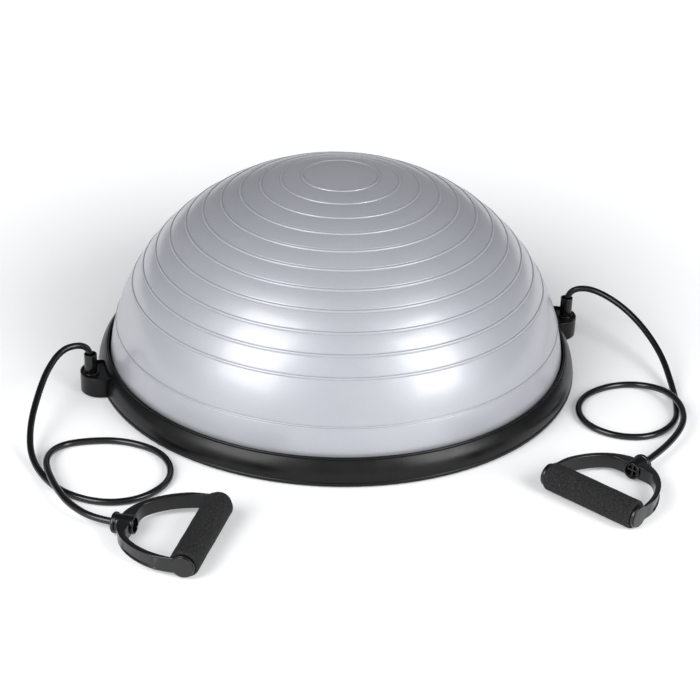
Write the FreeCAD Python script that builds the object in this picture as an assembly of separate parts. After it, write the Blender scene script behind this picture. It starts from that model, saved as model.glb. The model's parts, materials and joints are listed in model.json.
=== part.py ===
import FreeCAD, Part
import math
import os

V = FreeCAD.Vector
UP = V(0, 0, 1)

# ---- Driving dimensions, mm. Z = 0 is the floor, and the two ears lie on the X axis. ----

BASE_R = 300.0          # outer edge of the base
PAD_TOP = 3.0           # rubber ring under the base
PAD_OUT_R = 287.0
PAD_IN_R = 262.0
TRAY_EDGE_Z = 1.5       # underside of the tray's outer edge
PLATE_TOP = 6.0         # top of the tray's plate
LAND_TOP = 11.0         # top of the tray's ribs and of its clamping land
LAND_IN_R = 272.0
LAND_OUT_R = 296.0
RIB_WIDTH = 3.0

DOME_R = 285.2          # half-ellipsoid of the inflated dome
DOME_H = 258.0
SKIN = 2.5
FLANGE_R = 288.7        # welded flange that the rim clamps
FLANGE_TOP = 13.2
GASKET_TOP = 14.4
MOULD_RIB_WIDTH = 2.6   # raised lines moulded round the dome
MOULD_RIB_PROUD = 0.7
FIRST_RIB_ARC = 47.5    # along the skin from the pole
RIB_PITCH = 25.8
RIB_SLOTS = 13
BARE_SLOT = 11          # no rib here: the wide band low on the dome

RIM_IN_R = 285.7
RIM_WALL = 3.0
RIM_OUT_R = 299.2
RIM_SHOULDER_R = 290.0
RIM_SHOULDER_Z = 30.6
BEAD_TOP = 33.2
RIM_SCREWS = 24
RIM_SCREW_R = 292.2

EAR_R = 25.5            # round ear, centred on the base's edge
EAR_BOTTOM = 4.5
EAR_TOP = 26.5
EAR_FLOOR = 24.0        # sunk top surface inside the ear's lip
EAR_LIP = 2.2
SHELF_BOTTOM = 16.0
PLUG_X = 312.5          # axis of each anchor plug
POCKET_R = 11.0
NECK_BORE_R = 6.5
SLOT_HALF_LENGTH = 9.3
SLOT_HALF_WIDTH = 4.3

VALVE_Y = 110.0         # air valve, behind the middle of the underside
VALVE_BOSS_R = 17.0
SEAT_R = 9.0
SEAT_BOTTOM = PAD_TOP + 0.4
SEAT_TOP = 24.0
PLUG_R = 4.5
PLUG_TIP = 20.0
PLUG_HEAD_R = 7.5
PLUG_HEAD_H = 2.4

SCREW_R = 1.5
SCREW_HEAD_R = 3.0
SCREW_HEAD_H = 2.0
HOLE_GAP = 0.05

TUBE_R = 4.0
FERRULE_R = 7.75
FERRULE_BOTTOM = 26.1
FERRULE_TOP = 50.5
MOUTH_Z = 43.0
MOUTH_R = 6.7
CHAMBER_R = 5.6
TUBE_START_Z = 39.0

ARM_SPAN = 65.6         # half axis of the arms' outer curve, across the handle
ARM_REACH = 94.0        # and from the grip's axis to the crown of the arms
ARM_THIN = 5.6          # thickness beside the grip
ARM_THICK = 7.6         # and at the crown
CROWN_WALL = 78.5       # flat inner wall behind the boss
ARM_HALF_AT_GRIP = 9.6
ARM_HALF_AT_CROWN = 8.3
EYE_R = 13.4
EYE_FACE = 62.4
ARM_SIDE = EYE_FACE     # flat sides that the curve is cut back to beside the grip
EYE_THICK = 3.8
CAP_THICK = 1.2
BOSS_IN = 76.0
BOSS_OUT = 101.5
BOSS_R = 10.5
BOSS_FLANGE_R = 12.0
BOSS_FLANGE = 4.5
BOSS_BORE_R = 4.3
STOP_SEAT = 87.0        # shoulder that the tube's stopper pulls against
STOP_R = 8.0
STEM_R = 5.0
CORE_R = 11.0
FOAM_R = 16.5
GRIP_HALF = 58.0        # half the length of the foam and its core
RUN_FIT = 0.06

# Each handle's place, and how it lies: roll, fall of the boss end, turn, in degrees.
LEFT_GRIP = V(-256.5, -363.5, 17.9)
LEFT_LAY = (-1.3, 3.2, 148.0)
RIGHT_GRIP = V(182.3, -396.65, 16.5)
RIGHT_LAY = (0.0, 2.4, 31.5)

FLOOR_Z = TUBE_R + 0.2  # centre of a tube that lies on the floor
OVER_Z = FLOOR_Z + 4 * TUBE_R + 0.3

LEFT_ROUTE = [
    (-PLUG_X, 0, TUBE_START_Z), (-PLUG_X, 0, 55), (-324, -3, 66), (-347, -9, 66.5),
    (-369, -31, 54), (-386, -63, 39), (-402, -103, 23), (-409, -146, 9),
    (-401, -190, FLOOR_Z), (-382, -230, FLOOR_Z), (-346, -259, FLOOR_Z),
    (-304, -262, FLOOR_Z), (-267, -238, FLOOR_Z), (-255, -201, FLOOR_Z),
    (-265, -163, FLOOR_Z), (-300, -133, FLOOR_Z), (-340, -124, FLOOR_Z),
    (-372, -126, FLOOR_Z + 2), (-391, -151, 12), (-396, -187, OVER_Z),
    (-392, -227, OVER_Z), (-383, -265, 17),
]
RIGHT_ROUTE = [
    (PLUG_X, 0, TUBE_START_Z), (PLUG_X, 0, 54.5), (324, -4, 65), (345, -15, 65),
    (369, -45, 55), (385, -83, 40), (392, -127, 22), (385, -173, 8),
    (373, -215, FLOOR_Z), (353, -257, FLOOR_Z), (312, -281, FLOOR_Z),
    (271, -271, FLOOR_Z), (245, -239, FLOOR_Z), (246, -201, FLOOR_Z),
    (267, -171, FLOOR_Z), (301, -156, FLOOR_Z), (335, -156, FLOOR_Z + 2),
    (358, -175, 12), (369, -203, OVER_Z), (369, -240, OVER_Z), (350, -281, 16),
]
LEFT_LEAD = 20.0        # the route's corner on the boss axis, out from the boss
RIGHT_LEAD = 35.0


# ---- Helpers ----

def export(shape, node):
    shape.exportStep("parts/%s.step" % node)


def cylinder(radius, low, high, x=0.0, y=0.0):
    return Part.makeCylinder(radius, high - low, V(x, y, low), UP)


def tube(outer, inner, low, high, x=0.0, y=0.0):
    return cylinder(outer, low, high, x, y).cut(cylinder(inner, low - 1, high + 1, x, y))


def turned(outline):
    """Solid of revolution about Z from a closed outline of (radius, height) points."""
    corners = [V(r, 0, z) for r, z in outline]
    face = Part.Face(Part.makePolygon(corners + corners[:1]))
    return face.revolve(V(0, 0, 0), UP, 360)


def ring_of(shape, count, first_angle):
    """Copies of a shape round the Z axis."""
    copies = []
    for k in range(count):
        copy = shape.copy()
        copy.rotate(V(0, 0, 0), UP, first_angle + 360.0 * k / count)
        copies.append(copy)
    return copies


def screw(low, length):
    """Pan-head screw, head down, with its head's underside level at low."""
    head = cylinder(SCREW_HEAD_R, low, low + SCREW_HEAD_H)
    head = head.makeFillet(0.6, [head.Edges[2]])
    return head.fuse(cylinder(SCREW_R, low + SCREW_HEAD_H, low + length)).removeSplitter()


def screw_hole(low, length):
    """Room for a screw and its sunk head."""
    sunk = cylinder(SCREW_HEAD_R + 0.2, low - 5, low + SCREW_HEAD_H + 0.05)
    return sunk.fuse(cylinder(SCREW_R + HOLE_GAP, low, low + length + 0.5))


# ---- Base ----

def rim_edges():
    """Outer face of the rim as (radius, height): a convex slope with a bead at its top."""
    bulge = 1.2
    middle_r = (RIM_OUT_R + RIM_SHOULDER_R) / 2 + bulge
    middle_z = (PLATE_TOP + 2 + RIM_SHOULDER_Z) / 2
    return (RIM_OUT_R, PLATE_TOP + 2), (middle_r, middle_z), (RIM_SHOULDER_R, RIM_SHOULDER_Z)


def rim_section(inner_wire_points, grow):
    """Section through the rim's outside, closed by straight edges through the given points."""
    foot, middle, shoulder = [V(r + grow, 0, z) for r, z in rim_edges()]
    bead_out = V(RIM_SHOULDER_R - 0.7, 0, RIM_SHOULDER_Z + 0.9)
    bead_top = V((RIM_SHOULDER_R + RIM_IN_R) / 2 - 0.2, 0, BEAD_TOP)
    bead_in = V(RIM_IN_R, 0, RIM_SHOULDER_Z + 0.9)
    edges = [
        Part.Arc(foot, middle, shoulder).toShape(),
        Part.LineSegment(shoulder, bead_out).toShape(),
        Part.Arc(bead_out, bead_top, bead_in).toShape(),
    ]
    corners = [bead_in] + [V(r, 0, z) for r, z in inner_wire_points] + [foot]
    edges += [Part.LineSegment(a, b).toShape() for a, b in zip(corners, corners[1:])]
    return Part.Face(Part.Wire(edges))


def make_rim_ring():
    inner_top = RIM_SHOULDER_Z - 2.6
    inside = [
        (RIM_IN_R, GASKET_TOP), (RIM_IN_R + RIM_WALL, GASKET_TOP),
        (RIM_IN_R + RIM_WALL, inner_top), (RIM_SHOULDER_R - 0.9, inner_top),
        (LAND_OUT_R + 0.2, LAND_TOP), (LAND_OUT_R + 0.2, PLATE_TOP), (RIM_OUT_R, PLATE_TOP),
    ]
    ring = rim_section(inside, 0).revolve(V(0, 0, 0), UP, 360)
    boss_top = 17.0
    boss = cylinder(2.9, LAND_TOP, boss_top, RIM_SCREW_R)
    hole = cylinder(SCREW_R + HOLE_GAP, LAND_TOP - 1, boss_top - 0.5, RIM_SCREW_R)
    step = 180.0 / RIM_SCREWS
    ring = ring.fuse(ring_of(boss, RIM_SCREWS, step))
    return ring.cut(ring_of(hole, RIM_SCREWS, step)).removeSplitter()


def rim_screw():
    shape = screw(PAD_TOP + 0.2, 13.0)
    shape.translate(V(RIM_SCREW_R, 0, 0))
    return shape


def ear_screw_places():
    return [V(side * 306.0, y, 0) for side in (-1, 1) for y in (-17.0, 17.0)]


def make_tray():
    plate = turned([
        (0, PAD_TOP), (BASE_R - 4, PAD_TOP), (BASE_R - 4, TRAY_EDGE_Z), (BASE_R - 0.8, TRAY_EDGE_Z),
        (BASE_R, TRAY_EDGE_Z + 0.8), (BASE_R, PLATE_TOP - 0.8), (BASE_R - 0.8, PLATE_TOP),
        (0, PLATE_TOP),
    ])
    land = tube(LAND_OUT_R, LAND_IN_R, PLATE_TOP, LAND_TOP)
    hoops = [tube(r, r - RIB_WIDTH, PLATE_TOP, LAND_TOP) for r in (60, 160, 215)]
    spoke = Part.makeBox(LAND_IN_R - 58, RIB_WIDTH, LAND_TOP - PLATE_TOP,
                         V(58, -RIB_WIDTH / 2, PLATE_TOP))
    tabs = [cylinder(EAR_R, TRAY_EDGE_Z, EAR_BOTTOM, side * BASE_R) for side in (-1, 1)]
    tabs = [tab.cut(cylinder(BASE_R - 4, 0, PAD_TOP)) for tab in tabs]
    tray = plate.fuse([land] + hoops + ring_of(spoke, 12, 15) + tabs)
    tray = tray.fuse(cylinder(VALVE_BOSS_R, PLATE_TOP, LAND_TOP, 0, VALVE_Y))
    pocket_floor = [cylinder(POCKET_R, EAR_BOTTOM - 1, EAR_BOTTOM + 1, s * PLUG_X) for s in (-1, 1)]
    rim_hole = screw_hole(PAD_TOP + 0.2, 13.0)
    rim_hole.translate(V(RIM_SCREW_R, 0, 0))
    cuts = ring_of(rim_hole, RIM_SCREWS, 180.0 / RIM_SCREWS) + pocket_floor
    for place in ear_screw_places():
        hole = screw_hole(TRAY_EDGE_Z + 0.2, 12.0)
        hole.translate(place)
        cuts.append(hole)
    cuts.append(cylinder(SEAT_R + HOLE_GAP, 0, LAND_TOP + 1, 0, VALVE_Y))
    return tray.cut(cuts).removeSplitter()


def make_ear(side):
    """Round anchor boss with a sunk top, a slotted shelf and a pocket under the shelf."""
    body = cylinder(EAR_R, EAR_BOTTOM, EAR_TOP, BASE_R)
    top_edge = [e for e in body.Edges if e.Closed and abs(e.BoundBox.ZMin - EAR_TOP) < 0.01]
    body = body.makeFillet(0.9, top_edge)
    below_rim = [(0, RIM_SHOULDER_Z + 0.9), (0, PLATE_TOP), (RIM_OUT_R + 0.1, PLATE_TOP)]
    beside_rim = rim_section(below_rim, 0.1)
    keep_out = beside_rim.revolve(V(0, 0, 0), UP, 360).fuse(cylinder(BASE_R + 0.1, 0, PLATE_TOP + 0.1))
    sunk = cylinder(EAR_R - EAR_LIP, EAR_FLOOR, EAR_TOP + 5, BASE_R)
    neck = cylinder(NECK_BORE_R, SHELF_BOTTOM - 1, EAR_TOP, PLUG_X)
    slot = Part.makeBox(2 * SLOT_HALF_WIDTH, 2 * SLOT_HALF_LENGTH, 15,
                        V(PLUG_X - SLOT_HALF_WIDTH, -SLOT_HALF_LENGTH, SHELF_BOTTOM - 1))
    pocket = cylinder(POCKET_R, 0, SHELF_BOTTOM, PLUG_X)
    holes = [cylinder(SCREW_R + HOLE_GAP, 0, 14.5, 306.0, y) for y in (-17.0, 17.0)]
    ear = body.cut([keep_out, sunk, neck, slot, pocket] + holes).removeSplitter()
    if side < 0:
        ear.rotate(V(0, 0, 0), UP, 180)
    return ear


# ---- Dome ----

def skin_point(angle, inset, proud=0.0):
    """Point of the skin at an angle from the pole, moved outward along the surface normal."""
    reach, height = DOME_R - inset, DOME_H - inset
    point = V(reach * math.sin(angle), 0, height * math.cos(angle))
    outward = V(height * math.sin(angle), 0, reach * math.cos(angle)).normalize()
    return point + outward * proud


def angle_along_skin(distance):
    """Angle from the pole of the place at a distance along the outer skin."""
    step = math.pi / 8000
    angle, walked = 0.0, 0.0
    while walked < distance:
        walked += (skin_point(angle + step, 0) - skin_point(angle, 0)).Length
        angle += step
    return angle


def cap_arc(angle, inset):
    """Arc from the pole to an angle, centred on the dome's axis."""
    pole, end = V(0, 0, DOME_H - inset), skin_point(angle, inset)
    drop = pole.z - end.z
    radius = (end.x ** 2 + drop ** 2) / (2 * drop)
    half = math.asin(end.x / radius) / 2
    middle = V(radius * math.sin(half), 0, pole.z - radius * (1 - math.cos(half)))
    return Part.Arc(pole, middle, end).toShape()


def skin_arc(start, end, inset):
    points = [skin_point(angle, inset) for angle in (start, (start + end) / 2, end)]
    return Part.Arc(*points).toShape()


def outer_skin(low_angle):
    """Outline of the outside, from the pole down, with a small arc for each moulded rib."""
    half_rib = MOULD_RIB_WIDTH / 2
    edges = []
    angle = 0.0
    for slot in range(RIB_SLOTS):
        if slot == BARE_SLOT:
            continue
        arc = FIRST_RIB_ARC + slot * RIB_PITCH
        start, crest, end = [angle_along_skin(arc + step) for step in (-half_rib, 0, half_rib)]
        edges.append(skin_arc(angle, start, 0) if angle else cap_arc(start, 0))
        rib = skin_point(start, 0), skin_point(crest, 0, MOULD_RIB_PROUD), skin_point(end, 0)
        edges.append(Part.Arc(*rib).toShape())
        angle = end
    edges.append(skin_arc(angle, low_angle, 0))
    return edges


def inner_skin(low_angle):
    pieces = 10
    stops = [low_angle * (k + 1) / pieces for k in range(pieces)]
    edges = [cap_arc(stops[0], SKIN)]
    return edges + [skin_arc(a, b, SKIN) for a, b in zip(stops, stops[1:])]


def skin_angle_at(z, inset):
    return math.acos(z / (DOME_H - inset))


def make_dome():
    out_angle = skin_angle_at(FLANGE_TOP, 0)
    in_angle = skin_angle_at(LAND_TOP, SKIN)
    corners = [skin_point(out_angle, 0), V(FLANGE_R, 0, FLANGE_TOP), V(FLANGE_R, 0, LAND_TOP),
               skin_point(in_angle, SKIN)]
    edges = outer_skin(out_angle)
    edges += [Part.LineSegment(a, b).toShape() for a, b in zip(corners, corners[1:])]
    edges += inner_skin(in_angle)
    edges.append(Part.LineSegment(V(0, 0, DOME_H - SKIN), V(0, 0, DOME_H)).toShape())
    outline = Part.Wire(Part.__sortEdges__(edges))
    return Part.Face(outline).revolve(V(0, 0, 0), UP, 360)


def make_bladder_floor():
    radius = skin_point(skin_angle_at(FLANGE_TOP, SKIN), SKIN).x
    disc = cylinder(radius, LAND_TOP, FLANGE_TOP)
    return disc.cut(cylinder(SEAT_R, 0, 30, 0, VALVE_Y))


# ---- Air valve in the underside ----

def make_valve_seat():
    body = cylinder(SEAT_R, SEAT_BOTTOM, SEAT_TOP, 0, VALVE_Y)
    collar = cylinder(15.0, FLANGE_TOP, FLANGE_TOP + 2.0, 0, VALVE_Y)
    bore = cylinder(PLUG_R + RUN_FIT, 0, PLUG_TIP + 0.4, 0, VALVE_Y)
    head_room = cylinder(PLUG_HEAD_R + 0.3, 0, SEAT_BOTTOM + PLUG_HEAD_H + 0.1, 0, VALVE_Y)
    air_way = cylinder(2.0, PLUG_TIP, SEAT_TOP + 1, 0, VALVE_Y)
    return body.fuse(collar).cut([bore, head_room, air_way]).removeSplitter()


def make_valve_plug():
    head = cylinder(PLUG_HEAD_R, SEAT_BOTTOM, SEAT_BOTTOM + PLUG_HEAD_H, 0, VALVE_Y)
    stem = cylinder(PLUG_R, SEAT_BOTTOM + PLUG_HEAD_H, PLUG_TIP - 2, 0, VALVE_Y)
    tip = Part.makeCone(PLUG_R, PLUG_R - 1, 2, V(0, VALVE_Y, PLUG_TIP - 2), UP)
    return head.fuse([stem, tip]).removeSplitter()


# ---- Anchor of a band ----

def make_anchor_plug(side):
    """Twist-lock plug: a T foot under the ear's shelf, a neck, a collar and a spigot."""
    x = side * PLUG_X
    foot_top = SHELF_BOTTOM - 0.2
    foot = Part.makeBox(18, 8, 5, V(x - 9, -4, foot_top - 5))
    foot = foot.common(cylinder(9, 0, 30, x))
    neck = cylinder(NECK_BORE_R - RUN_FIT, foot_top - 5, FERRULE_BOTTOM - 1, x)
    collar = cylinder(10.5, EAR_FLOOR + 0.1, FERRULE_BOTTOM, x)
    collar = collar.makeFillet(0.8, [e for e in collar.Edges if e.BoundBox.ZMin > FERRULE_BOTTOM - 0.1])
    spigot = cylinder(CHAMBER_R, FERRULE_BOTTOM, 33.0, x)
    return foot.fuse([neck, collar, spigot]).removeSplitter()


def make_ferrule(side):
    x = side * PLUG_X
    body = cylinder(FERRULE_R, FERRULE_BOTTOM, FERRULE_TOP, x)
    ends = [e for e in body.Edges if e.Closed]
    body = body.makeFillet(0.7, ends)
    chamber = cylinder(CHAMBER_R, 0, TUBE_START_Z, x)
    grip = cylinder(TUBE_R, 0, MOUTH_Z + 1, x)
    mouth = cylinder(MOUTH_R, MOUTH_Z, FERRULE_TOP + 1, x)
    return body.cut([chamber, grip, mouth]).removeSplitter()


def make_anchor_stopper(side):
    return cylinder(CHAMBER_R - 0.1, 33.0, TUBE_START_Z, side * PLUG_X)


# ---- Tubes ----

def rounded_route(points):
    """Straight runs joined by tangent arcs. Returns the edges and the arcs' radii."""
    corners = [V(*p) for p in points]
    edges, radii = [], []
    start = corners[0]
    for before, corner, after in zip(corners, corners[1:], corners[2:]):
        back = before - corner
        ahead = after - corner
        reach = 0.45 * min(back.Length, ahead.Length)
        half_turn = (math.pi - back.getAngle(ahead)) / 2
        radius = reach / math.tan(half_turn)
        back.normalize()
        ahead.normalize()
        enter, leave = corner + back * reach, corner + ahead * reach
        inward = (back + ahead).normalize()
        middle = corner + inward * (radius / math.cos(half_turn) - radius)
        edges.append(Part.LineSegment(start, enter).toShape())
        edges.append(Part.Arc(enter, middle, leave).toShape())
        radii.append(radius)
        start = leave
    edges.append(Part.LineSegment(start, corners[-1]).toShape())
    return edges, radii


def make_tube(points, name):
    edges, radii = rounded_route(points)
    spine = Part.Wire(edges)
    heading = V(*points[1]) - V(*points[0])
    section = Part.Wire(Part.makeCircle(TUBE_R, V(*points[0]), heading))
    solid = spine.makePipeShell([section], True, False)
    expected = math.pi * TUBE_R ** 2 * spine.Length
    print(name, "length %.1f" % spine.Length, "volume ratio %.5f" % (solid.Volume / expected))
    print("  radii", " ".join("%.0f" % r for r in radii))
    return solid


# ---- Handle, in its own frame: X from the grip's axis to the boss, Y along the grip ----

def oval(reach, span):
    return Part.Face(Part.Wire(Part.Ellipse(V(0, 0, 0), reach, span).toShape()))


def half_ring(outer, inner, half_height):
    """Extruded region between two ovals, on the boss side of the grip."""
    ring = outer.cut(inner).extrude(V(0, 0, 2 * half_height))
    ring.translate(V(0, 0, -half_height))
    return ring.common(Part.makeBox(ARM_REACH + 10, 2 * ARM_SIDE, 4 * half_height,
                                    V(0, -ARM_SIDE, -2 * half_height)))


def bar_y(radius, low, high):
    return Part.makeCylinder(radius, high - low, V(0, low, 0), V(0, 1, 0))


def bar_x(radius, low, high):
    return Part.makeCylinder(radius, high - low, V(low, 0, 0), V(1, 0, 0))


def make_yoke():
    hole = oval(ARM_REACH - ARM_THICK, ARM_SPAN - ARM_THIN)
    hole = hole.common(Part.makePlane(CROWN_WALL + 5, 200, V(-5, -100, 0)))
    straps = half_ring(oval(ARM_REACH, ARM_SPAN), hole, EYE_R)
    side_view = [V(-1, 0, -ARM_HALF_AT_GRIP), V(-1, 0, ARM_HALF_AT_GRIP),
                 V(ARM_REACH + 5, 0, ARM_HALF_AT_CROWN), V(ARM_REACH + 5, 0, -ARM_HALF_AT_CROWN)]
    taper = Part.Face(Part.makePolygon(side_view + side_view[:1])).extrude(V(0, 300, 0))
    taper.translate(V(0, -150, 0))
    straps = straps.common(taper)
    channel = half_ring(oval(ARM_REACH, ARM_SPAN), oval(ARM_REACH - 0.7, ARM_SPAN - 0.7), 5.4)
    channel = channel.common(Part.makeBox(48, 300, 20, V(30, -150, -10)))
    straps = straps.cut(channel)
    eye = bar_y(EYE_R, EYE_FACE - EYE_THICK, EYE_FACE)
    eye = eye.makeFillet(0.8, [e for e in eye.Edges if e.Closed])
    eyes = [eye, eye.mirror(V(0, 0, 0), V(0, 1, 0))]
    boss = bar_x(BOSS_R, BOSS_IN, BOSS_OUT - BOSS_FLANGE)
    flange = bar_x(BOSS_FLANGE_R, BOSS_OUT - BOSS_FLANGE, BOSS_OUT)
    flange = flange.makeFillet(1.2, [e for e in flange.Edges if e.Closed])
    yoke = straps.fuse(eyes + [boss, flange])
    cuts = [bar_x(BOSS_BORE_R, BOSS_IN - 5, BOSS_OUT + 5),
            bar_x(STOP_R + RUN_FIT, BOSS_IN - 5, STOP_SEAT),
            bar_y(STEM_R + HOLE_GAP, -80, 80)]
    return yoke.cut(cuts).removeSplitter()


def make_end_caps():
    caps = []
    for side in (-1, 1):
        head = bar_y(EYE_R - 0.8, EYE_FACE, EYE_FACE + CAP_THICK)
        head = head.makeFillet(0.8, [e for e in head.Edges if e.BoundBox.YMin > EYE_FACE + 1])
        cap = head.fuse(bar_y(STEM_R, EYE_FACE - 22, EYE_FACE)).removeSplitter()
        if side < 0:
            cap.rotate(V(0, 0, 0), V(0, 0, 1), 180)
        caps.append(cap)
    return Part.makeCompound(caps)


def make_grip_core():
    return bar_y(CORE_R, -GRIP_HALF, GRIP_HALF).cut(bar_y(STEM_R + RUN_FIT, -80, 80))


def make_foam():
    sleeve = bar_y(FOAM_R, -GRIP_HALF, GRIP_HALF)
    sleeve = sleeve.makeFillet(1.8, [e for e in sleeve.Edges if e.Closed])
    return sleeve.cut(bar_y(CORE_R, -80, 80))


def make_tube_stopper():
    """Plug on the tube's end, with a cross left standing in its open face."""
    disc = bar_x(STOP_R, STOP_SEAT - 8, STOP_SEAT - 0.05)
    quarters = []
    for angle in (0, 90, 180, 270):
        quarter = Part.makeCylinder(STOP_R - 1.4, 4.5, V(STOP_SEAT - 9, 0, 0), V(1, 0, 0))
        corner = Part.makeBox(20, 20, 20, V(STOP_SEAT - 15, 0.8, 0.8))
        corner.rotate(V(0, 0, 0), V(1, 0, 0), angle)
        quarters.append(quarter.common(corner))
    return disc.cut(quarters).removeSplitter()


def placed(shape, grip, lay):
    roll, fall, turn = lay
    shape.rotate(V(0, 0, 0), V(1, 0, 0), roll)
    shape.rotate(V(0, 0, 0), V(0, 1, 0), fall)
    shape.rotate(V(0, 0, 0), UP, turn)
    shape.translate(grip)
    return shape


def on_boss_axis(grip, lay, along):
    fall, angle = math.radians(lay[1]), math.radians(lay[2])
    level = along * math.cos(fall)
    return (grip.x + level * math.cos(angle), grip.y + level * math.sin(angle),
            grip.z - along * math.sin(fall))


# ---- Build every node ----

def make_side(name, side, route, lead, grip, lay):
    export(make_ear(side), name + "_ear")
    export(make_anchor_plug(side), name + "_anchor_plug")
    export(make_ferrule(side), name + "_ferrule")
    export(make_anchor_stopper(side), name + "_anchor_stopper")
    ends = [on_boss_axis(grip, lay, BOSS_OUT + lead), on_boss_axis(grip, lay, STOP_SEAT - 0.05)]
    export(make_tube(route + ends, name + "_tube"), name + "_tube")
    export(placed(make_tube_stopper(), grip, lay), name + "_tube_stopper")
    export(placed(make_yoke(), grip, lay), name + "_handle_yoke")
    export(placed(make_end_caps(), grip, lay), name + "_end_caps")
    export(placed(make_grip_core(), grip, lay), name + "_grip_core")
    export(placed(make_foam(), grip, lay), name + "_foam_grip")


def make_ear_screws():
    screws = []
    for place in ear_screw_places():
        one = screw(TRAY_EDGE_Z + 0.2, 12.0)
        one.translate(place)
        screws.append(one)
    return Part.makeCompound(screws)


os.makedirs("parts", exist_ok=True)
export(make_tray(), "base_tray")
export(tube(PAD_OUT_R, PAD_IN_R, 0, PAD_TOP), "anti_slip_ring")
export(make_rim_ring(), "rim_ring")
export(Part.makeCompound(ring_of(rim_screw(), RIM_SCREWS, 180.0 / RIM_SCREWS)), "rim_screws")
export(make_ear_screws(), "ear_screws")
export(make_dome(), "dome_membrane")
export(make_bladder_floor(), "bladder_floor")
export(tube(FLANGE_R, RIM_IN_R, FLANGE_TOP, GASKET_TOP), "flange_gasket")
export(make_valve_seat(), "valve_seat")
export(make_valve_plug(), "valve_plug")
make_side("left", -1, LEFT_ROUTE, LEFT_LEAD, LEFT_GRIP, LEFT_LAY)
make_side("right", 1, RIGHT_ROUTE, RIGHT_LEAD, RIGHT_GRIP, RIGHT_LAY)
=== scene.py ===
import json
import math

import bmesh
import bpy
from mathutils import Matrix, Vector, noise


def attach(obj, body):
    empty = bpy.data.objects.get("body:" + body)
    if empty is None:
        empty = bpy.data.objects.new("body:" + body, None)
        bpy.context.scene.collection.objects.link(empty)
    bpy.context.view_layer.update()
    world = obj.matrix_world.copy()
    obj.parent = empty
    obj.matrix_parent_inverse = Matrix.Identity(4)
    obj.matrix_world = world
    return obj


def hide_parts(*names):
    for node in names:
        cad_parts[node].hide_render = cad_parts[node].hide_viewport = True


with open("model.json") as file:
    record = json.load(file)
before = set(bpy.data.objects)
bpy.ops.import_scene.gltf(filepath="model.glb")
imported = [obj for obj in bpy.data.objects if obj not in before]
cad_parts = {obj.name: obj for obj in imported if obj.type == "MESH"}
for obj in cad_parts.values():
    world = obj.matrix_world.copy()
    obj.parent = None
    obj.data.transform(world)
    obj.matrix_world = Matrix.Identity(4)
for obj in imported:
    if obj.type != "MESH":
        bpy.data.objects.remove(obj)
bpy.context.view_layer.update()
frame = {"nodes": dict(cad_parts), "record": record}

MM = 0.001


# ---- Camera ----

EYE = Vector((-0.60898, -1.98703, 1.15739))
AIM = Vector((-0.03032, -0.15392, 0.1))
ROLL = math.radians(1.70)
SENSOR_MM = 36.0
LENS_MM = 96.1
FAR_CLIP = 60.0


def facing(place, target):
    """Turns a camera or a lamp at one point toward another."""
    return (target - place).to_track_quat("-Z", "Y").to_matrix().to_4x4()


def make_camera():
    """The point of view of the photograph."""
    lens = bpy.data.cameras.new("view")
    lens.sensor_width = SENSOR_MM
    lens.lens = LENS_MM
    lens.clip_end = FAR_CLIP
    eye = bpy.data.objects.new("view", lens)
    bpy.context.scene.collection.objects.link(eye)
    eye.matrix_world = (Matrix.Translation(EYE) @ facing(EYE, AIM)
                        @ Matrix.Rotation(ROLL, 4, "Z"))
    bpy.context.scene.camera = eye


make_camera()


# ---- Tubes: the CAD's routes in metres, with the crossing let down onto the strand below ----

TUBE_D = 0.008
MOUTH = 0.039               # height of the ferrule's mouth
FLOOR = 0.0042              # a strand's centre where it lies on the floor
OVER = 0.0128               # and where it lies on another strand

LEFT_ROUTE = [
    (-0.3125, 0, MOUTH), (-0.3125, 0, 0.055), (-0.324, -0.003, 0.066),
    (-0.347, -0.009, 0.0665), (-0.369, -0.031, 0.054), (-0.386, -0.063, 0.039),
    (-0.402, -0.103, 0.023), (-0.409, -0.146, 0.009), (-0.401, -0.190, FLOOR),
    (-0.382, -0.230, FLOOR), (-0.346, -0.259, FLOOR), (-0.304, -0.262, FLOOR),
    (-0.267, -0.238, FLOOR), (-0.255, -0.201, FLOOR), (-0.265, -0.163, FLOOR),
    (-0.300, -0.133, FLOOR), (-0.340, -0.124, FLOOR), (-0.372, -0.126, FLOOR),
    (-0.391, -0.151, 0.008), (-0.396, -0.187, OVER), (-0.392, -0.227, OVER),
    (-0.383, -0.265, OVER), (-0.35938, -0.29922, 0.01112), (-0.33012, -0.31750, 0.01305),
]
RIGHT_ROUTE = [
    (0.3125, 0, MOUTH), (0.3125, 0, 0.0545), (0.324, -0.004, 0.065),
    (0.345, -0.015, 0.065), (0.369, -0.045, 0.055), (0.385, -0.083, 0.040),
    (0.392, -0.127, 0.022), (0.385, -0.173, 0.008), (0.373, -0.215, FLOOR),
    (0.353, -0.257, FLOOR), (0.312, -0.281, FLOOR), (0.271, -0.271, FLOOR),
    (0.245, -0.239, FLOOR), (0.246, -0.201, FLOOR), (0.267, -0.171, FLOOR),
    (0.301, -0.156, FLOOR), (0.335, -0.156, FLOOR), (0.358, -0.175, 0.008),
    (0.369, -0.203, OVER), (0.369, -0.240, OVER), (0.350, -0.281, OVER),
    (0.29858, -0.32539, 0.01078), (0.25637, -0.35126, 0.01286),
]


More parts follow.
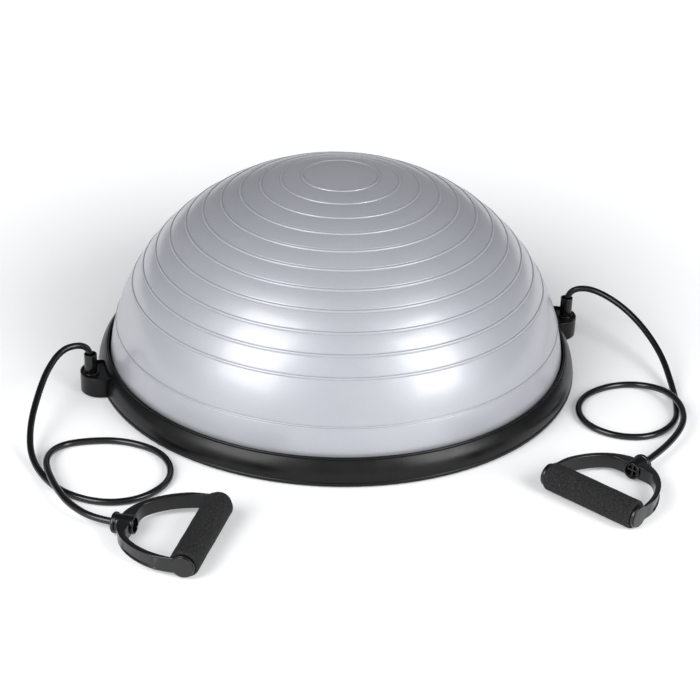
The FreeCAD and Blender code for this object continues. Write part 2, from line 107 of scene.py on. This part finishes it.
def make_tube(side, route):
    """Round tube. Its thickness is its points' radius, which the curve's box grows by."""
    curve = bpy.data.curves.new(side + "_band_tube", "CURVE")
    curve.dimensions = "3D"
    curve.bevel_depth = 1.0
    curve.bevel_resolution = 8
    curve.resolution_u = 16
    line = curve.splines.new("NURBS")
    line.points.add(len(route) - 1)
    for point, place in zip(line.points, route):
        point.co = (*place, 1.0)
        point.radius = TUBE_D / 2
    line.order_u = 3
    line.use_endpoint_u = True
    piece = bpy.data.objects.new(side + "_band_tube", curve)
    bpy.context.scene.collection.objects.link(piece)
    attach(piece, side + "_band")
    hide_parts(side + "_tube")
    return piece


tubes = {"left": make_tube("left", LEFT_ROUTE), "right": make_tube("right", RIGHT_ROUTE)}


# ---- Materials ----

def shader_tree(name):
    """A new material, its node tree and its shader."""
    mat = bpy.data.materials.new(name)
    mat.use_nodes = True
    tree = mat.node_tree
    return mat, tree, tree.nodes["Principled BSDF"]


def object_place(tree):
    """The surface point in its object's own coordinates."""
    return tree.nodes.new("ShaderNodeTexCoord").outputs["Object"]


def noise_of(tree, where, scale, detail=4.0, roughness=0.55):
    """Cloudy grey noise. A greater scale makes it finer."""
    node = tree.nodes.new("ShaderNodeTexNoise")
    node.inputs["Scale"].default_value = scale
    node.inputs["Detail"].default_value = detail
    node.inputs["Roughness"].default_value = roughness
    tree.links.new(where, node.inputs["Vector"])
    return node.outputs["Fac"]


def spread(tree, value, low, high, start=0.3, end=0.7):
    """The value between start and end, taken to low and high."""
    node = tree.nodes.new("ShaderNodeMapRange")
    node.inputs["From Min"].default_value = start
    node.inputs["From Max"].default_value = end
    node.inputs["To Min"].default_value = low
    node.inputs["To Max"].default_value = high
    tree.links.new(value, node.inputs["Value"])
    return node.outputs["Result"]


def ramp(tree, value, stops):
    """The value turned into a colour, by (place, colour) stops."""
    node = tree.nodes.new("ShaderNodeValToRGB")
    elements = node.color_ramp.elements
    while len(elements) < len(stops):
        elements.new(0.5)
    for element, (place, colour) in zip(elements, stops):
        element.position = place
        element.color = (*colour, 1.0)
    tree.links.new(value, node.inputs["Fac"])
    return node.outputs["Color"]


def blended(tree, kind, first, second):
    """Two colours added or multiplied."""
    node = tree.nodes.new("ShaderNodeMix")
    node.data_type = "RGBA"
    node.blend_type = kind
    node.inputs["Factor"].default_value = 1.0
    tree.links.new(first, node.inputs["A"])
    tree.links.new(second, node.inputs["B"])
    return node.outputs["Result"]


def bump(tree, height, strength, distance, before=None):
    """A normal raised by a height, on top of the normal given before."""
    node = tree.nodes.new("ShaderNodeBump")
    node.inputs["Strength"].default_value = strength
    node.inputs["Distance"].default_value = distance
    tree.links.new(height, node.inputs["Height"])
    if before is not None:
        tree.links.new(before, node.inputs["Normal"])
    return node.outputs["Normal"]


def moulded(name, dark, light, rough, grain=1400.0, bump_mm=0.02, specular=0.5):
    """Moulded plastic or rubber: cloudy tone, uneven gloss and a fine grain."""
    mat, tree, bsdf = shader_tree(name)
    where = object_place(tree)
    cloud = noise_of(tree, where, 38.0, 5.0)
    fine = noise_of(tree, where, grain, 2.0)
    tree.links.new(ramp(tree, cloud, [(0.3, dark), (0.72, light)]), bsdf.inputs["Base Color"])
    tree.links.new(spread(tree, cloud, rough[0], rough[1]), bsdf.inputs["Roughness"])
    tree.links.new(bump(tree, fine, 0.5, bump_mm * MM), bsdf.inputs["Normal"])
    bsdf.inputs["Specular IOR Level"].default_value = specular
    return mat


def dome_material():
    """Pearly inflated vinyl: fine flake, faint mottling and a clear top skin."""
    mat, tree, bsdf = shader_tree("dome_vinyl")
    where = object_place(tree)
    cloud = noise_of(tree, where, 9.0, 4.0)
    flake = noise_of(tree, where, 900.0, 3.0)
    tone = ramp(tree, cloud, [(0.25, (0.362, 0.373, 0.407)), (0.75, (0.405, 0.416, 0.446))])
    glint = ramp(tree, flake, [(0.3, (0.93, 0.93, 0.93)), (0.7, (1.0, 1.0, 1.0))])
    tree.links.new(blended(tree, "MULTIPLY", tone, glint), bsdf.inputs["Base Color"])
    tree.links.new(spread(tree, flake, 0.36, 0.46), bsdf.inputs["Roughness"])
    ripple = noise_of(tree, where, 14.0, 2.0)
    soft = bump(tree, ripple, 0.35, 1.2 * MM)
    tree.links.new(bump(tree, flake, 0.10, 0.04 * MM, soft), bsdf.inputs["Normal"])
    tree.links.new(soft, bsdf.inputs["Coat Normal"])
    bsdf.inputs["Metallic"].default_value = 0.28
    bsdf.inputs["Coat Weight"].default_value = 0.38
    bsdf.inputs["Coat Roughness"].default_value = 0.14
    return mat


def foam_material():
    """Black foam rubber: open cells, an uneven tone and a few paler specks."""
    mat, tree, bsdf = shader_tree("grip_foam")
    where = object_place(tree)
    cells = tree.nodes.new("ShaderNodeTexVoronoi")
    cells.inputs["Scale"].default_value = 1500.0
    tree.links.new(where, cells.inputs["Vector"])
    cloud = noise_of(tree, where, 430.0, 6.0, 0.7)
    specks = noise_of(tree, where, 620.0, 1.0)
    tone = ramp(tree, cloud, [(0.34, (0.003, 0.003, 0.0032)), (0.66, (0.026, 0.026, 0.027))])
    light = ramp(tree, specks, [(0.65, (0.0, 0.0, 0.0)), (0.78, (0.05, 0.05, 0.05))])
    tree.links.new(blended(tree, "ADD", tone, light), bsdf.inputs["Base Color"])
    tree.links.new(spread(tree, cloud, 0.78, 0.95), bsdf.inputs["Roughness"])
    rough = bump(tree, cells.outputs["Distance"], 0.6, 0.25 * MM)
    tree.links.new(bump(tree, cloud, 0.5, 0.3 * MM, rough), bsdf.inputs["Normal"])
    bsdf.inputs["Specular IOR Level"].default_value = 0.25
    return mat


def steel_material():
    """Plated screw steel."""
    mat, tree, bsdf = shader_tree("screw_steel")
    where = object_place(tree)
    cloud = noise_of(tree, where, 700.0, 4.0)
    tree.links.new(ramp(tree, cloud, [(0.3, (0.34, 0.34, 0.35)), (0.7, (0.55, 0.55, 0.56))]),
                   bsdf.inputs["Base Color"])
    tree.links.new(spread(tree, cloud, 0.25, 0.45), bsdf.inputs["Roughness"])
    bsdf.inputs["Metallic"].default_value = 1.0
    return mat


MATERIALS = {
    "dome_vinyl": dome_material(),
    "base_plastic": moulded("base_plastic", (0.0018, 0.0018, 0.0020), (0.0036, 0.0036, 0.0039),
                            (0.26, 0.34), 900.0, 0.03, specular=0.28),
    "pad_rubber": moulded("pad_rubber", (0.016, 0.016, 0.016), (0.03, 0.03, 0.03), (0.7, 0.9)),
    "seal_rubber": moulded("seal_rubber", (0.02, 0.02, 0.02), (0.04, 0.04, 0.04), (0.6, 0.8)),
    "tube_rubber": moulded("tube_rubber", (0.002, 0.002, 0.0021), (0.004, 0.004, 0.0042),
                           (0.17, 0.24), 700.0, 0.03),
    "fitting_plastic": moulded("fitting_plastic", (0.002, 0.002, 0.0021), (0.004, 0.004, 0.0042),
                               (0.20, 0.28), 1200.0, 0.015),
    "handle_plastic": moulded("handle_plastic", (0.0018, 0.0018, 0.0019), (0.0036, 0.0036, 0.0038),
                              (0.18, 0.26), 1100.0, 0.02),
    "core_plastic": moulded("core_plastic", (0.03, 0.03, 0.03), (0.05, 0.05, 0.05), (0.5, 0.6)),
    "grip_foam": foam_material(),
    "screw_steel": steel_material(),
    "valve_plastic": moulded("valve_plastic", (0.62, 0.62, 0.60), (0.74, 0.74, 0.72), (0.3, 0.4)),
}
for row in frame["record"]["subparts"]:
    data = frame["nodes"][row["node"]].data
    data.materials.clear()
    data.materials.append(MATERIALS[row["material_slot"]])
for tube in tubes.values():
    tube.data.materials.append(MATERIALS["tube_rubber"])


# ---- Mesh helpers ----

def piece_of(name, verts, faces, body, slot):
    """A smooth piece of the object, riding on a body, in the finish of a slot."""
    mesh = bpy.data.meshes.new(name)
    mesh.from_pydata(verts, [], faces)
    mesh.validate()
    mesh.polygons.foreach_set("use_smooth", [True] * len(mesh.polygons))
    mesh.materials.append(MATERIALS[slot])
    piece = bpy.data.objects.new(name, mesh)
    bpy.context.scene.collection.objects.link(piece)
    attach(piece, body)
    return piece


def lathe(profile, steps, closed=False):
    """Rings of points (radius, height) about Z. An open profile starts and ends on the axis."""
    verts, faces, rings = [], [], []
    for radius, height in profile:
        if radius < 1e-7:
            rings.append([len(verts)] * steps)
            verts.append((0.0, 0.0, height))
            continue
        rings.append(list(range(len(verts), len(verts) + steps)))
        for k in range(steps):
            angle = 2 * math.pi * k / steps
            verts.append((radius * math.cos(angle), radius * math.sin(angle), height))
    pairs = list(zip(rings, rings[1:] + (rings[:1] if closed else [])))
    for upper, lower in pairs:
        for k in range(steps):
            n = (k + 1) % steps
            corners = [upper[k], lower[k], lower[n], upper[n]]
            unique = [c for i, c in enumerate(corners) if c not in corners[:i]]
            if len(unique) > 2:
                faces.append(unique)
    return verts, faces


# ---- Dome ----

DOME_R = 285.2
DOME_H = 258.0
SKIN = 2.5
FLANGE_R = 288.7
FLANGE_TOP = 13.2
FLANGE_BOTTOM = 11.0
FIRST_RIB = 46.6
RIB_PITCH = 25.85
RIBS = 11
FOOT_LINE = (360.7, 1.2, 0.8)   # its place along the skin, half width and height
RIB_HALF = 1.6
RIB_PROUD = 0.95
PILLOW = 0.45               # how far the skin swells between two ribs
ANGLE_STEP = 1.0e-4
POLE_STEP = 6.0
FINE_STEP = 0.16
FINE_REACH = 3.0            # how far from a rib the fine steps go
COARSE_STEP = 3.2
INSIDE_STEPS = 60
LATHE_STEPS = 480


def ellipse_point(angle, inset=0.0):
    """Radius and height of a point on the skin, and its outward direction."""
    reach, height = DOME_R - inset, DOME_H - inset
    x, z = reach * math.sin(angle), height * math.cos(angle)
    nx, nz = height * math.sin(angle), reach * math.cos(angle)
    size = math.hypot(nx, nz)
    return x, z, nx / size, nz / size


def smooth(value):
    """An even S from 0 to 1."""
    value = min(1.0, max(0.0, value))
    return value * value * (3 - 2 * value)


def rib_lift(distance, half, proud):
    """A rounded bead with a shallow groove along each foot."""
    away = abs(distance)
    bead = proud * math.sqrt(max(0.0, 1 - (away / half) ** 2))
    groove = -0.25 * proud * math.exp(-((away - half - 0.3) / 0.4) ** 2)
    return bead + groove


def profile_step(away):
    """Fine steps at a rib, and coarser ones away from it."""
    if away < FINE_REACH:
        return FINE_STEP
    return min(COARSE_STEP, max(FINE_STEP, (away - 2.6) * 0.6))


def dome_profile():
    """Section of the skin: the outside from the pole down, the flange, and the inside back up."""
    ribs = [(FIRST_RIB + k * RIB_PITCH, RIB_HALF, RIB_PROUD) for k in range(RIBS)] + [FOOT_LINE]
    seams = [0.0] + [rib[0] for rib in ribs]
    last = math.acos(FLANGE_TOP / DOME_H)
    profile = [(0.0, DOME_H)]
    angle, walked, due = 0.0, 0.0, POLE_STEP
    x, z = 0.0, DOME_H
    while angle < last - ANGLE_STEP:
        angle += ANGLE_STEP
        before = x, z
        x, z, ux, uz = ellipse_point(angle)
        walked += math.hypot(x - before[0], z - before[1])
        if walked < due:
            continue
        nearest = min(ribs, key=lambda rib: abs(rib[0] - walked))
        away = abs(nearest[0] - walked)
        due = walked + profile_step(away)
        lift = rib_lift(away, nearest[1], nearest[2])
        below = [s for s in seams if s <= walked]
        above = [s for s in seams if s > walked]
        if above and len(below) > 1:
            share = (walked - below[-1]) / (above[0] - below[-1])
            lift += PILLOW * math.sin(math.pi * share)
        profile.append((x + ux * lift, z + uz * lift))
    profile += [(ellipse_point(last)[0], FLANGE_TOP), (FLANGE_R - 0.3, FLANGE_TOP),
                (FLANGE_R, FLANGE_TOP - 0.3), (FLANGE_R, FLANGE_BOTTOM)]
    low = math.acos(FLANGE_BOTTOM / (DOME_H - SKIN))
    for k in range(INSIDE_STEPS + 1):
        x, z, _, _ = ellipse_point(low * (1 - k / INSIDE_STEPS), SKIN)
        profile.append((x if k < INSIDE_STEPS else 0.0, z))
    return [(r * MM, h * MM) for r, h in profile]


verts, faces = lathe(dome_profile(), LATHE_STEPS)
dome = piece_of("dome_skin", verts, faces, "base", "dome_vinyl")
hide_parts("dome_membrane")


# ---- Rim ----

SLOPE_FOOT = (299.2, 8.0)
SHOULDER = (290.0, 30.6)
SLOPE_BULGE = 2.2
SLOPE_OUT = (0.92, 0.37)    # the slope's outward direction
SLOPE_STEPS = 18
BEAD = (287.5, 31.4)
BEAD_R = 1.75
BEAD_FROM, BEAD_SWEEP = -18, 208
BEAD_STEPS = 12


def rim_profile():
    """Section of the clamping ring: a gently convex slope, a bead at its top, hollow inside."""
    slope = []
    for k in range(SLOPE_STEPS + 1):
        share = k / SLOPE_STEPS
        reach = SLOPE_BULGE * 4 * share * (1 - share)
        slope.append(tuple(foot + (top - foot) * share + reach * out
                           for foot, top, out in zip(SLOPE_FOOT, SHOULDER, SLOPE_OUT)))
    bead = []
    for k in range(BEAD_STEPS + 1):
        angle = math.radians(BEAD_FROM + BEAD_SWEEP * k / BEAD_STEPS)
        bead.append((BEAD[0] + BEAD_R * math.cos(angle), BEAD[1] + BEAD_R * math.sin(angle)))
    return [(298.5, 6.05), (299.1, 6.4), (299.3, 7.2)] + slope + [(289.5, 30.75)] + bead + [
        (285.75, 14.5), (288.6, 14.5), (288.6, 28.0), (289.1, 28.0), (296.2, 11.0), (296.2, 6.05)]


def scaled(points):
    """Millimetres to metres."""
    return [(r * MM, h * MM) for r, h in points]


def crease(piece, degrees=32.0):
    """Keeps edges sharper than this angle sharp in the smooth shading."""
    piece.data.set_sharp_from_angle(angle=math.radians(degrees))


verts, faces = lathe(scaled(rim_profile()[::-1]), LATHE_STEPS, closed=True)
rim = piece_of("rim_cover", verts, faces, "base", "base_plastic")
crease(rim)
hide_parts("rim_ring")


# ---- Handles, in their own frame: X from the grip's axis to the boss, Y along the grip ----

ARM_SPAN = 65.6
ARM_REACH = 94.0
ARM_THIN = 5.6
ARM_THICK = 7.6
CROWN_WALL = 78.5
ARM_HALF = (9.6, 8.3)
EYE_R = 13.4
EYE_FACE = 62.4
ARM_SIDE = EYE_FACE         # the arms are cut flush with the eyes' faces
EYE_THICK = 3.8
CAP_THICK = 1.2
BOSS_IN = 76.0
STOP_SEAT = 87.0
BOSS_STEP = 97.0
BOSS_OUT = 101.5
FOAM_R = 16.5
CORE_R = 11.0
GRIP_HALF = 58.0
STRAP_EDGE = 1.1
CHANNEL_LIP = 2.8
CHANNEL_DEEP = 1.2
STRAP_STEPS = 160
ROUND_STEPS = 96
FOAM_STEPS = 160
FOAM_SPANS = 110
FOAM_EDGE = 2.6
FOAM_LOWEST = 0.0003        # metres above the floor
LAYS = {"left": ((-256.5, -363.5, 17.9), (-1.3, 3.2, 148.0)),
        "right": ((182.3, -396.65, 16.5), (0.0, 2.4, 31.5))}


def handle_frame(side):
    """Place of a handle from its roll, the fall of its boss end, and its turn."""
    centre, lay = LAYS[side]
    roll, fall, turn = [math.radians(angle) for angle in lay]
    return (Matrix.Translation(Vector(centre) * MM) @ Matrix.Rotation(turn, 4, "Z")
            @ Matrix.Rotation(fall, 4, "Y") @ Matrix.Rotation(roll, 4, "X")
            @ Matrix.Scale(MM, 4))


def soft_min(value, limit, blend):
    """The smaller of two numbers, with the corner between them rounded."""
    near = max(blend - abs(value - limit), 0.0) / blend
    return min(value, limit) - near * near * blend / 4


def corner(n, z, radius, start):
    """Quarter round of a section, centred on (n, z)."""
    points = []
    for k in range(6):
        angle = math.radians(start + 18 * k)
        points.append((n + radius * math.cos(angle), z + radius * math.sin(angle)))
    return points


def strap_section(w, half_height, sunk):
    """Rounded bar of half width w, with a shallow channel between lips on its outer face."""
    r = STRAP_EDGE
    lip = half_height - CHANNEL_LIP
    face = [(w, -lip - 0.5), (w - 0.5 * sunk, -lip - 0.15), (w - sunk, -lip + 0.3),
            (w - sunk, lip - 0.3), (w - 0.5 * sunk, lip + 0.15), (w, lip + 0.5)]
    return (corner(w - r, r - half_height, r, -90) + face + corner(w - r, half_height - r, r, 0)
            + corner(r - w, half_height - r, r, 90) + corner(r - w, r - half_height, r, 180))


def strap_mesh():
    """The two arms and the crown between them: one bar swept along half of an oval."""
    verts, faces = [], []
    for k in range(STRAP_STEPS + 1):
        t = math.pi * (k / STRAP_STEPS - 0.5)
        side = math.copysign(1.0, math.sin(t))
        outer = Vector((ARM_REACH * math.cos(t),
                        side * soft_min(ARM_SPAN * abs(math.sin(t)), ARM_SIDE, 2.4)))
        inner = Vector((soft_min((ARM_REACH - ARM_THICK) * math.cos(t), CROWN_WALL, 5.0),
                        (ARM_SPAN - ARM_THIN) * math.sin(t)))
        half = ARM_HALF[0] + (ARM_HALF[1] - ARM_HALF[0]) * outer.x / ARM_REACH
        sunk = CHANNEL_DEEP * smooth((outer.x - 26) / 8) * smooth((80 - outer.x) / 6)
        middle, across = (outer + inner) / 2, (outer - inner).normalized()
        section = strap_section((outer - inner).length / 2, half, sunk)
        verts += [(middle.x + across.x * n, middle.y + across.y * n, z) for n, z in section]
    count = len(section)
    for k in range(STRAP_STEPS):
        for i in range(count):
            j = (i + 1) % count
            faces.append((k * count + i, k * count + j, (k + 1) * count + j, (k + 1) * count + i))
    faces.append(tuple(range(count))[::-1])
    faces.append(tuple(range(STRAP_STEPS * count, (STRAP_STEPS + 1) * count)))
    return verts, faces


def along_y(verts, middle=0.0):
    """A lathe's axis turned from Z to Y."""
    return [(x, z + middle, -y) for x, y, z in verts]


def along_x(verts):
    """A lathe's axis turned from Z to X."""
    return [(z, x, y) for x, y, z in verts]


def rounded_disc(radius, low, high, edge):
    """Open lathe profile of a disc with rounded edges, from its top down."""
    top = [(radius - edge + edge * math.sin(math.radians(a)),
            high - edge + edge * math.cos(math.radians(a))) for a in range(0, 91, 15)]
    under = [(radius - edge + edge * math.cos(math.radians(a)),
              low + edge - edge * math.sin(math.radians(a))) for a in range(0, 91, 15)]
    return [(0.0, high)] + top + under + [(0.0, low)]


def boss_profile():
    """Outside of the boss, from its mouth inward: a flange, then a plain barrel."""
    return [(0.0, BOSS_OUT), (10.3, BOSS_OUT), (10.9, BOSS_OUT - 0.2), (11.7, BOSS_OUT - 1.0),
            (12.0, BOSS_OUT - 1.7), (12.0, BOSS_STEP + 0.8), (11.7, BOSS_STEP + 0.25),
            (11.3, BOSS_STEP), (10.8, BOSS_STEP - 0.3), (10.5, BOSS_STEP - 0.9),
            (10.5, BOSS_IN + 0.8), (10.2, BOSS_IN + 0.25), (9.7, BOSS_IN), (0.0, BOSS_IN)]


def bore_profile():
    """Room for the tube and, behind the seat, for its stopper. Both mouths are eased."""
    return [(0.0, BOSS_OUT + 4), (5.1, BOSS_OUT + 4), (5.1, BOSS_OUT), (4.4, BOSS_OUT - 0.7),
            (4.4, STOP_SEAT), (8.1, STOP_SEAT), (8.1, BOSS_IN + 0.6), (8.7, BOSS_IN),
            (8.7, BOSS_IN - 14), (0.0, BOSS_IN - 14)]


def solid(name, verts, faces):
    """A closed mesh whose faces all look outward."""
    mesh = bpy.data.meshes.new(name)
    mesh.from_pydata(verts, [], faces)
    mesh.validate()
    work = bmesh.new()
    work.from_mesh(mesh)
    bmesh.ops.recalc_face_normals(work, faces=work.faces)
    work.to_mesh(mesh)
    work.free()
    piece = bpy.data.objects.new(name, mesh)
    bpy.context.scene.collection.objects.link(piece)
    return piece


def combine(piece, other, operation):
    """Joins the other solid to the piece, or cuts it out."""
    step = piece.modifiers.new("combine", "BOOLEAN")
    step.operation = operation
    step.solver = "EXACT"
    step.object = other
    graph = bpy.context.evaluated_depsgraph_get()
    result = bpy.data.meshes.new_from_object(piece.evaluated_get(graph))
    piece.modifiers.clear()
    piece.data = result
    bpy.data.objects.remove(other)


def finish_piece(piece, body, slot, degrees):
    """One finish all over, smooth shading, and its body."""
    piece.data.materials.clear()
    piece.data.materials.append(MATERIALS[slot])
    piece.data.polygons.foreach_set("material_index", [0] * len(piece.data.polygons))
    piece.data.polygons.foreach_set("use_smooth", [True] * len(piece.data.polygons))
    crease(piece, degrees)
    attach(piece, body)


def make_yoke(side):
    """Arms, crown, both eyes and the boss in one moulding, with the tube's bore through it."""
    piece = solid(side + "_handle_frame", *strap_mesh())
    eye_verts, eye_faces = lathe(rounded_disc(EYE_R, 0.0, EYE_THICK, 0.8), ROUND_STEPS)
    for level in (EYE_FACE - EYE_THICK, -EYE_FACE):
        combine(piece, solid("eye", along_y(eye_verts, level), eye_faces), "UNION")
    boss_verts, boss_faces = lathe(boss_profile(), ROUND_STEPS)
    combine(piece, solid("boss", along_x(boss_verts), boss_faces), "UNION")
    bore_verts, bore_faces = lathe(bore_profile(), ROUND_STEPS)
    combine(piece, solid("bore", along_x(bore_verts), bore_faces), "DIFFERENCE")
    piece.data.transform(handle_frame(side))
    finish_piece(piece, side + "_handle", "handle_plastic", 35.0)
    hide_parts(side + "_handle_yoke")


FOAM_WAVES = ((0.22, 17.0), (0.10, 5.0), (0.05, 1.6))   # each: height and length
# Each: place along the grip, angle round it, width in degrees, lean and depth
CREASES = [(-47.0, 120.0, 30.0, 1.6, 0.9), (-51.0, 105.0, 26.0, 1.2, 0.6),
           (47.0, 130.0, 24.0, -3.0, 0.9), (12.0, 70.0, 14.0, 2.0, 0.25)]


def foam_mesh(seed):
    """Foam sleeve: soft rounded ends, a slightly uneven surface and a few short creases."""
    half, radius, edge = GRIP_HALF, FOAM_R, FOAM_EDGE
    profile = [(CORE_R, half - 0.6), (CORE_R + 1.2, half)]
    profile += [(radius - edge + edge * math.sin(math.radians(a)),
                 half - edge + edge * math.cos(math.radians(a))) for a in range(0, 91, 15)]
    profile += [(radius, (half - edge) * (1 - 2 * k / FOAM_SPANS)) for k in range(1, FOAM_SPANS)]
    profile += [(radius - edge + edge * math.cos(math.radians(a)),
                 -half + edge - edge * math.sin(math.radians(a))) for a in range(0, 91, 15)]
    profile += [(CORE_R + 1.2, -half), (CORE_R, -half + 0.6)]
    profile += [(CORE_R, -half * (1 - 2 * k / 4)) for k in range(1, 4)]
    verts, faces = lathe(profile, FOAM_STEPS, closed=True)
    shaped = []
    for x, y, z in verts:
        reach = math.hypot(x, y)
        if reach > CORE_R + 1.5:
            where = Vector((x, y, z + seed * 300.0))
            wave = sum(height * noise.noise(where / length) for height, length in FOAM_WAVES)
            for middle, angle, width, lean, deep in CREASES:
                turn = math.degrees(math.atan2(-y, x)) - angle
                turn = (turn + 180) % 360 - 180
                along = z - middle - lean * turn / 40.0
                wave -= deep * math.exp(-(along / 0.9) ** 2 - (turn / width) ** 2)
            x, y = x * (1 + wave / reach), y * (1 + wave / reach)
        shaped.append((x, y, z))
    return along_y(shaped), faces


def make_foam(side, seed):
    """The sleeve in its place, flattened a little where it rests on the floor."""
    place = handle_frame(side)
    verts, faces = foam_mesh(seed)
    verts = [place @ Vector(v) for v in verts]
    verts = [(v.x, v.y, max(v.z, FOAM_LOWEST)) for v in verts]
    foam = piece_of(side + "_foam_sleeve", verts, faces, side + "_grip", "grip_foam")
    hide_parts(side + "_foam_grip")


def make_end_discs(side):
    """Flat caps with a softened edge."""
    verts, faces = lathe(rounded_disc(EYE_R - 0.8, 0.0, CAP_THICK, 0.6), ROUND_STEPS)
    near = along_y(verts, EYE_FACE)
    count = len(near)
    verts = near + [(x, -y, -z) for x, y, z in near]
    faces = faces + [tuple(count + i for i in face) for face in faces]
    place = handle_frame(side)
    discs = piece_of(side + "_end_discs", [place @ Vector(v) for v in verts], faces,
                     side + "_handle", "handle_plastic")
    crease(discs, 40.0)
    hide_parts(side + "_end_caps")


for number, side in enumerate(LAYS):
    make_yoke(side)
    make_foam(side, number)
    make_end_discs(side)


# ---- Floor and light. Azimuths are in degrees from +Y towards +X. ----

FLOOR_HALF = 14.0
# Painted light on the floor: its glow near the object and far from it; the weaker glow near the
# object is painted shade
NEAR_GLOW, FAR_GLOW = 0.07, 0.66
GLOW_FROM, GLOW_TO = 0.32, 1.05     # distances from the object's middle
LEFT_SIDE = -116            # azimuths of the two lamps
RIGHT_SIDE = 144
WALLS = (-124, 160)         # azimuths of the two pale walls
WALL_ELEVATION = 14
LAMP_TARGET = Vector((0.0, -0.1, 0.1))
LAMP_DISTANCE = 2.4


def floor_material():
    """White paper sweep with painted light: it glows a little near the object and more far from
    it, so the weaker glow near the object is painted shade.
    """
    mat, tree, bsdf = shader_tree("floor")
    bsdf.inputs["Base Color"].default_value = (0.90, 0.90, 0.905, 1.0)
    bsdf.inputs["Roughness"].default_value = 0.8
    bsdf.inputs["Specular IOR Level"].default_value = 0.1
    bsdf.inputs["Emission Color"].default_value = (1.0, 1.0, 1.0, 1.0)
    where = object_place(tree)
    reach = tree.nodes.new("ShaderNodeVectorMath")
    reach.operation = "LENGTH"
    tree.links.new(where, reach.inputs[0])
    glow = spread(tree, reach.outputs["Value"], NEAR_GLOW, FAR_GLOW, GLOW_FROM, GLOW_TO)
    tree.links.new(glow, bsdf.inputs["Emission Strength"])
    return mat


def make_floor():
    """The ground that the object stands on. It is not part of the object."""
    corners = [(-FLOOR_HALF, -FLOOR_HALF, 0), (FLOOR_HALF, -FLOOR_HALF, 0),
               (FLOOR_HALF, FLOOR_HALF, 0), (-FLOOR_HALF, FLOOR_HALF, 0)]
    mesh = bpy.data.meshes.new("floor")
    mesh.from_pydata(corners, [], [(0, 1, 2, 3)])
    mesh.materials.append(floor_material())
    floor = bpy.data.objects.new("floor", mesh)
    bpy.context.scene.collection.objects.link(floor)


def heading(azimuth, elevation):
    """Unit vector toward an azimuth and an elevation."""
    a, e = math.radians(azimuth), math.radians(elevation)
    return Vector((math.sin(a) * math.cos(e), math.cos(a) * math.cos(e), math.sin(e)))


def softbox(name, azimuth, elevation, wide, tall, power):
    """Area light aimed at the dome."""
    lamp = bpy.data.lights.new(name, "AREA")
    lamp.shape = "RECTANGLE"
    lamp.size = wide
    lamp.size_y = tall
    lamp.energy = power
    holder = bpy.data.objects.new(name, lamp)
    bpy.context.scene.collection.objects.link(holder)
    place = LAMP_TARGET + LAMP_DISTANCE * heading(azimuth, elevation)
    holder.matrix_world = Matrix.Translation(place) @ facing(place, LAMP_TARGET)


def make_world():
    """Two pale walls, a soft glow opposite them and a dim studio between."""
    world = bpy.data.worlds.new("studio")
    bpy.context.scene.world = world
    world.use_nodes = True
    tree = world.node_tree
    where = tree.nodes.new("ShaderNodeTexCoord").outputs["Generated"]
    nearer = tree.nodes.new("ShaderNodeMath")
    nearer.operation = "MAXIMUM"
    for socket, azimuth in zip(nearer.inputs, WALLS):
        toward = tree.nodes.new("ShaderNodeVectorMath")
        toward.operation = "DOT_PRODUCT"
        toward.inputs[1].default_value = heading(azimuth, WALL_ELEVATION)
        tree.links.new(where, toward.inputs[0])
        tree.links.new(toward.outputs["Value"], socket)
    shade = ramp(tree, spread(tree, nearer.outputs["Value"], 0.0, 1.0, -1.0, 1.0), [
        (0.0, (0.37, 0.375, 0.39)), (0.20, (0.34, 0.345, 0.36)), (0.34, (0.12, 0.125, 0.14)),
        (0.66, (0.12, 0.125, 0.14)), (0.78, (0.24, 0.245, 0.26)),
        (0.89, (0.62, 0.63, 0.64)), (0.98, (0.95, 0.95, 0.95))])
    back = tree.nodes["Background"]
    tree.links.new(shade, back.inputs["Color"])
    back.inputs["Strength"].default_value = 1.0


make_floor()
make_world()
softbox("key_left", LEFT_SIDE, 33, 1.3, 1.6, 40)
softbox("key_right", RIGHT_SIDE, 28, 1.1, 1.5, 37)
bpy.context.scene.view_settings.view_transform = "Standard"
